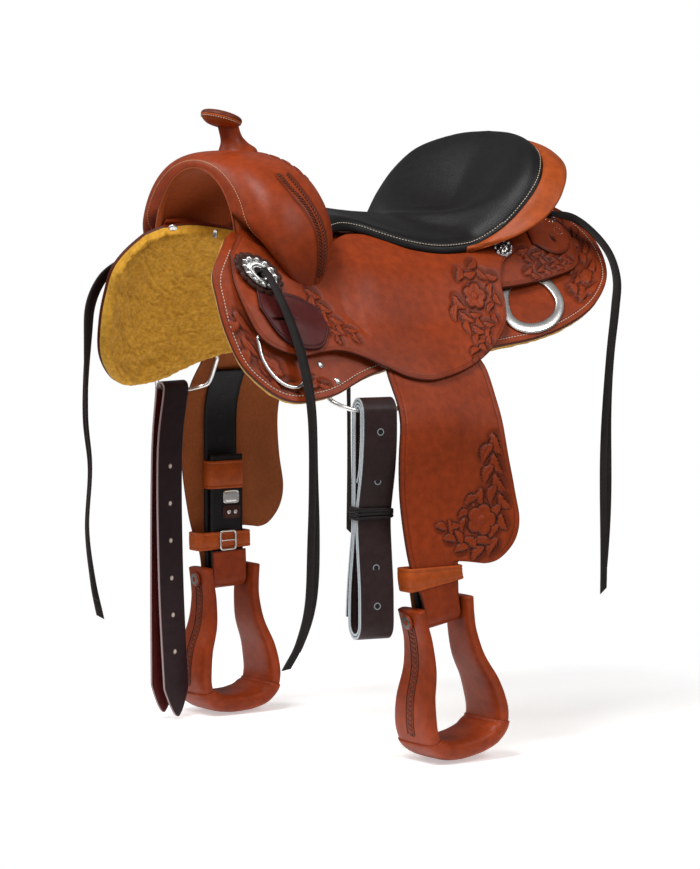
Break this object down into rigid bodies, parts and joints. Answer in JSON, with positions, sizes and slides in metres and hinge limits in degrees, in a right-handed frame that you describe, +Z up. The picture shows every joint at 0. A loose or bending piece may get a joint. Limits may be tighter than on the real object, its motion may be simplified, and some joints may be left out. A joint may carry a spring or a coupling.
{
  "type": "western saddle",
  "caption": "Western trail saddle with fork, horn, padded seat, rolled cantle, fleece-lined skirts, hanging fenders, wrapped bell stirrups, coiled latigo and off billet.",
  "frame": {"origin": "middle of the horse's back under the seat, on the ridge line between the two bars, where the saddle bears on what carries it", "axes": "+Z up, -Y towards the horse's head, +X towards the near (left) side"},
  "size_m": [0.5904, 0.6422, 0.8643],
  "materials": {
    "russet_leather": "smooth oiled russet leather, tooled and burnished at its edges",
    "orange_leather": "smooth orange-tan leather",
    "black_leather": "soft black leather",
    "latigo_leather": "dark waxed latigo leather with pale cut edges",
    "oxblood_leather": "dark oxblood leather",
    "skirting_leather": "undyed skirting leather",
    "suede": "brushed suede",
    "fleece": "golden curled fleece",
    "tree_wood": "sanded wood",
    "horn_steel": "dull steel",
    "silver": "polished nickel silver"
  },
  "bodies": {
    "saddle": {"tree_fork": "tree_wood", "swell_cover": "russet_leather", "gullet_lining": "suede", "horn_post": "horn_steel", "horn_neck": "russet_leather", "horn_cap": "russet_leather", "seat": "black_leather", "ground_seat": "skirting_leather", "cantle_roll": "orange_leather", "tree_cantle": "tree_wood", "cantle_back": "orange_leather", "string_front_near": "black_leather", "string_front_far": "black_leather", "string_rear_near": "black_leather", "string_rear_far": "black_leather", "skirt_near": "russet_leather", "skirt_far": "russet_leather", "fleece_near": "fleece", "fleece_far": "fleece", "tree_bar_near": "tree_wood", "tree_bar_far": "tree_wood", "seat_jockey_near": "russet_leather", "seat_jockey_far": "russet_leather", "rear_jockey_near": "russet_leather", "rear_jockey_far": "russet_leather", "latigo_keeper_near": "oxblood_leather", "latigo_keeper_far": "oxblood_leather", "fender_head_near": "russet_leather", "fender_head_far": "russet_leather", "concho_rosette_near": "oxblood_leather", "concho_rosette_far": "oxblood_leather", "front_concho_near": "silver", "front_concho_far": "silver", "seat_concho_near": "silver", "seat_concho_far": "silver", "rear_concho_near": "silver", "rear_concho_far": "silver", "breast_dee_near": "silver", "breast_dee_far": "silver", "rigging_dee_near": "silver", "rigging_dee_far": "silver", "rear_dee_near": "silver", "rear_dee_far": "silver"},
    "fender_near": {"fender_near": "russet_leather", "stirrup_leather_near": "black_leather", "hobble_strap_near": "orange_leather", "hobble_buckle_near": "silver"},
    "fender_far": {"fender_far": "russet_leather", "stirrup_leather_far": "black_leather", "hobble_strap_far": "orange_leather", "hobble_buckle_far": "silver"},
    "stirrup_near": {"stirrup_near": "russet_leather", "stirrup_bolt_near": "silver"},
    "stirrup_far": {"stirrup_far": "russet_leather", "stirrup_bolt_far": "silver"},
    "sleeve_near": {"buckle_sleeve_near": "orange_leather"},
    "sleeve_far": {"buckle_sleeve_far": "orange_leather"},
    "latigo": {"latigo_near": "latigo_leather", "latigo_tie": "black_leather"},
    "billet": {"off_billet_far": "latigo_leather"}
  },
  "joints": [
    {"name": "fender_swing_near", "type": "hinge", "parent": "saddle", "child": "fender_near", "pos_m": [0.24263, -0.046, -0.18603], "axis": [0, -1, 0], "range_deg": [0, 50]},
    {"name": "fender_swing_far", "type": "hinge", "parent": "saddle", "child": "fender_far", "pos_m": [-0.24263, -0.046, -0.18603], "axis": [0, 1, 0], "range_deg": [0, 50]},
    {"name": "stirrup_swing_near", "type": "hinge", "parent": "fender_near", "child": "stirrup_near", "pos_m": [0.25323, -0.03558, -0.48909], "axis": [0, 0.9848, 0.1736], "range_deg": [-60, 60]},
    {"name": "stirrup_swing_far", "type": "hinge", "parent": "fender_far", "child": "stirrup_far", "pos_m": [-0.25323, -0.04391, -0.48996], "axis": [0, 0.9994, 0.0349], "range_deg": [-60, 60]},
    {"name": "sleeve_slide_near", "type": "slide", "parent": "fender_near", "child": "sleeve_near", "axis": [0, 0, 1], "range_m": [0, 0.025]},
    {"name": "sleeve_slide_far", "type": "slide", "parent": "fender_far", "child": "sleeve_far", "axis": [0, 0, 1], "range_m": [0, 0.025]},
    {"name": "latigo_swing", "type": "hinge", "parent": "saddle", "child": "latigo", "pos_m": [0.24003, -0.12797, -0.21615], "axis": [-0.2133, -0.977, 0], "range_deg": [-35, 0]},
    {"name": "billet_swing", "type": "hinge", "parent": "saddle", "child": "billet", "pos_m": [-0.23678, -0.14297, -0.21496], "axis": [-0.2151, 0.9766, 0], "range_deg": [-8, 35]}
  ]
}
